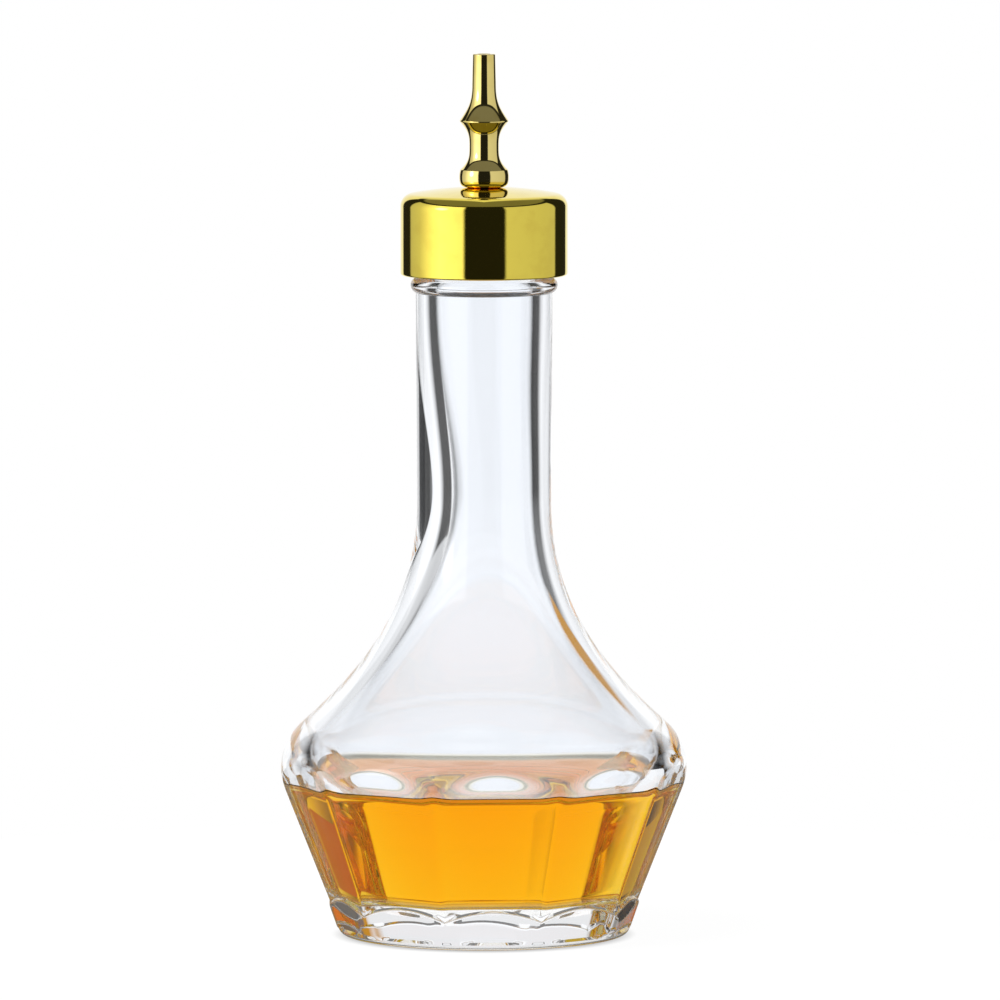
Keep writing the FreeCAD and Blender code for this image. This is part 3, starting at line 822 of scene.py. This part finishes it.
def graded(tree, along, stops):
    """Colours along a value from 0 to 1. A stop is a place on it with a grey level or a colour."""
    ramp = tree.nodes.new("ShaderNodeValToRGB")
    tree.links.new(along, ramp.inputs["Fac"])
    elements = ramp.color_ramp.elements
    while len(elements) < len(stops):
        elements.new(0.5)
    for element, (place, tone) in zip(elements, stops):
        element.position = place
        element.color = (*tone, 1) if isinstance(tone, tuple) else (tone, tone, tone, 1)
    return ramp.outputs["Color"]


def away_from_bottle(azimuth, elevation):
    """Direction in degrees: azimuth 0 is towards the camera, negative on its left."""
    a, e = math.radians(azimuth), math.radians(elevation)
    return math.sin(a) * math.cos(e), -math.cos(a) * math.cos(e), math.sin(e)


def studio_world():
    """White to the camera. Metal and glass see a bright backdrop behind the bottle with dark flags beside it,
    soft boxes to the left and right, and a dim room round the camera."""
    world = bpy.data.worlds.new("studio")
    world.use_nodes = True
    bpy.context.scene.world = world
    tree = world.node_tree
    nodes, links = tree.nodes, tree.links
    backdrop = nodes["Background"]
    place = nodes.new("ShaderNodeTexCoord")
    turn = nodes.new("ShaderNodeVectorRotate")
    turn.rotation_type = "Z_AXIS"
    turn.inputs["Angle"].default_value = -VIEW_AZIMUTH
    links.new(place.outputs["Generated"], turn.inputs["Vector"])
    axes = nodes.new("ShaderNodeSeparateXYZ")
    links.new(turn.outputs["Vector"], axes.inputs["Vector"])
    rays = nodes.new("ShaderNodeLightPath")

    # Azimuth from the camera's side: 0 towards the camera, negative on its left, as a share of the full turn
    toward = math_node(tree, "MULTIPLY", axes.outputs["Y"], -1)
    azimuth = math_node(tree, "ARCTAN2", axes.outputs["X"], toward)
    share = math_node(tree, "ADD", math_node(tree, "DIVIDE", azimuth, 2 * math.pi), 0.5)

    def ring_of_light(stops):
        """Light round the room. A stop is an azimuth in degrees with a level or a colour."""
        return graded(tree, share, [(degrees / 360 + 0.5, tone) for degrees, tone in stops])

    def above(low, high):
        """Rises from 0 to 1 between two elevations in degrees."""
        climb = nodes.new("ShaderNodeMapRange")
        climb.inputs["From Min"].default_value = math.sin(math.radians(low))
        climb.inputs["From Max"].default_value = math.sin(math.radians(high))
        links.new(axes.outputs["Z"], climb.inputs["Value"])
        return climb.outputs["Result"]

    def lamp_spot(azimuth, elevation, core, edge):
        """Rises to 1 inside a small disc of the room, sizes in degrees."""
        along = nodes.new("ShaderNodeVectorMath")
        along.operation = "DOT_PRODUCT"
        along.inputs[1].default_value = away_from_bottle(azimuth, elevation)
        links.new(turn.outputs["Vector"], along.inputs[0])
        disc = nodes.new("ShaderNodeMapRange")
        disc.inputs["From Min"].default_value = math.cos(math.radians(edge))
        disc.inputs["From Max"].default_value = math.cos(math.radians(core))
        links.new(along.outputs["Value"], disc.inputs["Value"])
        return disc.outputs["Result"]

    # Metal sees the soft boxes with a lamp in the left one, a dark gap over them and a dim ceiling
    boxes = ring_of_light([(-180, 1), (-151, 1), (-148, 0.02), (-124, 0.02), (-121, 0.6), (-100, 0.75),
                           (-80, 1.3), (-64, 1.7), (-30, 1.3), (-26, 0.015), (28, 0.015), (32, 0.75),
                           (114, 0.65), (117, 0.02), (151, 0.02), (154, 1), (180, 1)])
    gap = ring_of_light([(-180, 0.9), (-160, 0.9), (-150, 0.02), (150, 0.02), (160, 0.9), (180, 0.9)])
    ceiling = ring_of_light([(-180, 0.9), (-160, 0.9), (-140, 0.2), (140, 0.2), (160, 0.9), (180, 0.9)])
    lamp = lamp_spot(azimuth=-62, elevation=12, core=3, edge=12)
    boxes = choose(tree, lamp, boxes, (6, 6, 6, 1))
    reflected = choose(tree, above(33, 35), boxes, gap)
    reflected = choose(tree, above(40, 43), reflected, ceiling)

    # Glass sees the room in four layers: a wide white backdrop, a dark flag on each side of it in the two
    # lower ones, dim soft boxes, and in the third a gold card behind the bottle on the right
    low = ring_of_light([(-180, 1.08), (-156, 1.08), (-146, 0.65), (-137, 0.01), (-113, 0.01), (-110, 0.9),
                         (-30, 0.9), (-24, 0.25), (24, 0.25), (30, 0.5), (110, 0.5), (113, 0.01),
                         (137, 0.01), (146, 0.65), (156, 1.08), (180, 1.08)])
    middle = ring_of_light([(-180, 1.12), (-152, 1.12), (-146, 0.8), (-137, 0.02), (-113, 0.02), (-110, 0.8),
                            (-30, 0.8), (-24, 0.5), (24, 0.5), (30, 0.55), (110, 0.55), (113, 0.15),
                            (137, 0.15), (146, 0.8), (152, 1.12), (180, 1.12)])
    card = (0.6, 0.28, 0.02)
    high = ring_of_light([(-180, 0.92), (-148, 0.92), (-145, 0.75), (-131, 0.6), (-60, 0.65), (-30, 0.65),
                          (-24, 0.5), (24, 0.5), (30, 0.6), (126, 0.6), (130, card), (149, card),
                          (153, 0.92), (180, 0.92)])
    top = ring_of_light([(-180, 0.92), (-144, 0.92), (-141, 0.3), (-131, 0.3), (-128, 0.5), (-30, 0.5),
                         (-24, 0.4), (40, 0.4), (60, 0.5), (100, 0.5), (104, 0.15), (140, 0.15),
                         (146, 0.92), (180, 0.92)])
    refracted = choose(tree, above(-4, 2), low, middle)
    refracted = choose(tree, above(11.5, 13), refracted, high)
    refracted = choose(tree, above(21, 23), refracted, top)

    # A refracted ray also counts as glossy, so the choice for glass comes after the one for metal
    plain_light, white = (0.55, 0.55, 0.55, 1), (1, 1, 1, 1)
    light = choose(tree, rays.outputs["Is Glossy Ray"], plain_light, reflected)
    light = choose(tree, rays.outputs["Is Transmission Ray"], light, refracted)
    light = choose(tree, rays.outputs["Is Camera Ray"], light, white)
    links.new(light, backdrop.inputs["Color"])


def table_top():
    """Round white table: it carries the bottle's cast shadow and a painted contact shadow, is white to the
    camera and through glass, where it also has a painted wider shadow and amber glow, and shows dimly in what
    mirrors it."""
    outline = Outline(0, -TABLE_DROP, step=40)
    outline.line_to(TABLE_RADIUS, -TABLE_DROP)
    radius, height = outline.arrays()
    grid = np.repeat(radius[:, None], TABLE_COLUMNS, axis=1)
    table = piece_from_grid("table_top", grid, height, even_angles(TABLE_COLUMNS), looped=False)
    material, nodes, links, shader = new_material("white_table")
    tree = material.node_tree
    nodes.remove(shader)
    paint = nodes.new("ShaderNodeBsdfDiffuse")
    paint.inputs["Color"].default_value = (0.05, 0.05, 0.05, 1)
    glow = nodes.new("ShaderNodeEmission")
    rays = nodes.new("ShaderNodeLightPath")
    place = nodes.new("ShaderNodeNewGeometry")
    from_axis = nodes.new("ShaderNodeVectorMath")
    from_axis.operation = "LENGTH"
    links.new(place.outputs["Position"], from_axis.inputs[0])
    share = math_node(tree, "MULTIPLY", from_axis.outputs["Value"], 1 / (SHADE_REACH * MM))

    def by_distance(stops):
        """Colours by distance from the bottle's axis, in millimetres."""
        return graded(tree, share, [(distance / SHADE_REACH, tone) for distance, tone in stops])

    # The camera sees white round a painted contact shadow, and glass shows a wider painted shadow.
    # A ray that passed through glass and bitters shows a painted amber glow, which stands in for the light
    # the bitters would cast on the table.
    amber, painted_shade, white = (0.75, 0.36, 0.14), 0.2, 0.95
    plain = by_distance([(20, painted_shade), (26, white)])
    painted_wide_shadow = by_distance([(50, painted_shade), (66, white)])
    painted_amber_glow = by_distance([(39, amber), (43, painted_shade), (50, painted_shade), (66, white)])
    # Through glass and air a ray mostly crosses two or four surfaces, and through the bitters at least six.
    surfaces = rays.outputs["Transmission Depth"]
    through_bitters = math_node(tree, "GREATER_THAN", surfaces, 5)
    # Through glass the table shows a painted wider shadow, or a painted amber glow where the ray crossed the
    # bitters
    through_glass = choose(tree, through_bitters, painted_wide_shadow, painted_amber_glow)
    seen = choose(tree, rays.outputs["Is Transmission Ray"], plain, through_glass)
    links.new(seen, glow.inputs["Color"])
    mirror_level = 0.08
    mirrored = math_node(tree, "MULTIPLY", rays.outputs["Is Glossy Ray"], mirror_level)
    shown = math_node(tree, "MAXIMUM", rays.outputs["Is Camera Ray"], rays.outputs["Is Transmission Ray"])
    links.new(math_node(tree, "MAXIMUM", shown, mirrored), glow.inputs["Strength"])
    both = nodes.new("ShaderNodeAddShader")
    links.new(paint.outputs["BSDF"], both.inputs[0])
    links.new(glow.outputs["Emission"], both.inputs[1])
    links.new(both.outputs["Shader"], nodes["Material Output"].inputs["Surface"])
    table.data.materials.append(material)


def soft_lamp(name, azimuth, elevation, power):
    data = bpy.data.lights.new(name, "AREA")
    data.shape = "DISK"
    data.size = LAMP_SIZE
    data.energy = power
    lamp = bpy.data.objects.new(name, data)
    away = Vector(away_from_bottle(azimuth + math.degrees(VIEW_AZIMUTH), elevation))
    lamp.location = away * LAMP_DISTANCE
    lamp.rotation_euler = away.to_track_quat("Z", "Y").to_euler()
    lamp.visible_camera = False
    lamp.visible_glossy = False
    lamp.visible_transmission = False
    bpy.context.scene.collection.objects.link(lamp)


camera()
studio_world()
table_top()
soft_lamp("key_lamp", azimuth=-60, elevation=55, power=14)
soft_lamp("fill_lamp", azimuth=70, elevation=50, power=8)

scene = bpy.context.scene
scene.view_settings.view_transform = "Standard"
scene.cycles.use_denoising = True
scene.cycles.max_bounces = 128
scene.cycles.transmission_bounces = 128
scene.cycles.glossy_bounces = 24
